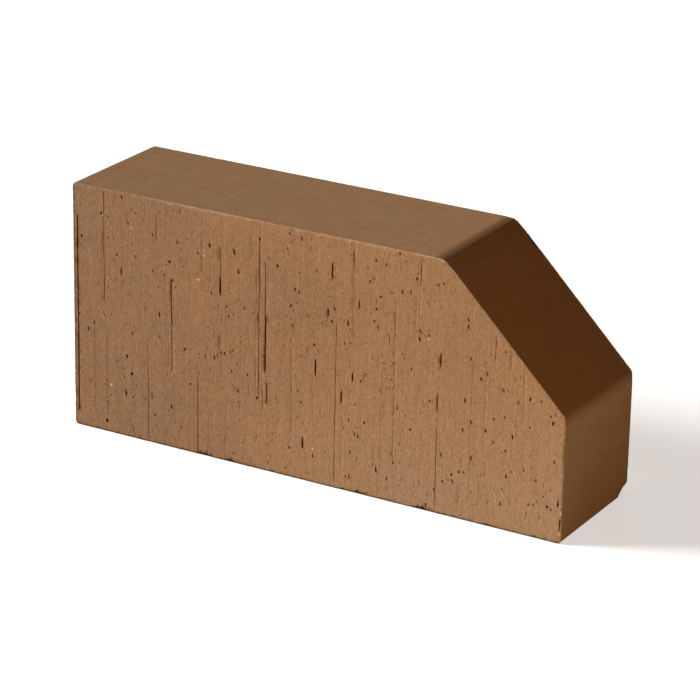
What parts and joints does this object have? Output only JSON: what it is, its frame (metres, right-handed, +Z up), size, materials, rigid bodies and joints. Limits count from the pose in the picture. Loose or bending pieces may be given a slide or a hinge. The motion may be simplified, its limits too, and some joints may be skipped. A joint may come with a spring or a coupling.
{
  "type": "shaped stove brick",
  "caption": "Solid fired-clay stove brick with one corner cut off at 45 degrees, for laying the slanted faces of stoves, fireplaces and chimney breasts.",
  "frame": {"origin": "middle of the long side face that the brick stands on", "axes": "+X along the length towards the end with the slanted corner, +Y from the front wire-cut face to the back one, +Z up"},
  "size_m": [0.25, 0.065, 0.117],
  "materials": {
    "fired_clay": "unglazed fired clay in warm brown: satin-smooth die faces, and wire-cut faces with drag lines, small pits and grog specks"
  },
  "bodies": {
    "root": {"shaped_brick": "fired_clay"}
  },
  "joints": []
}
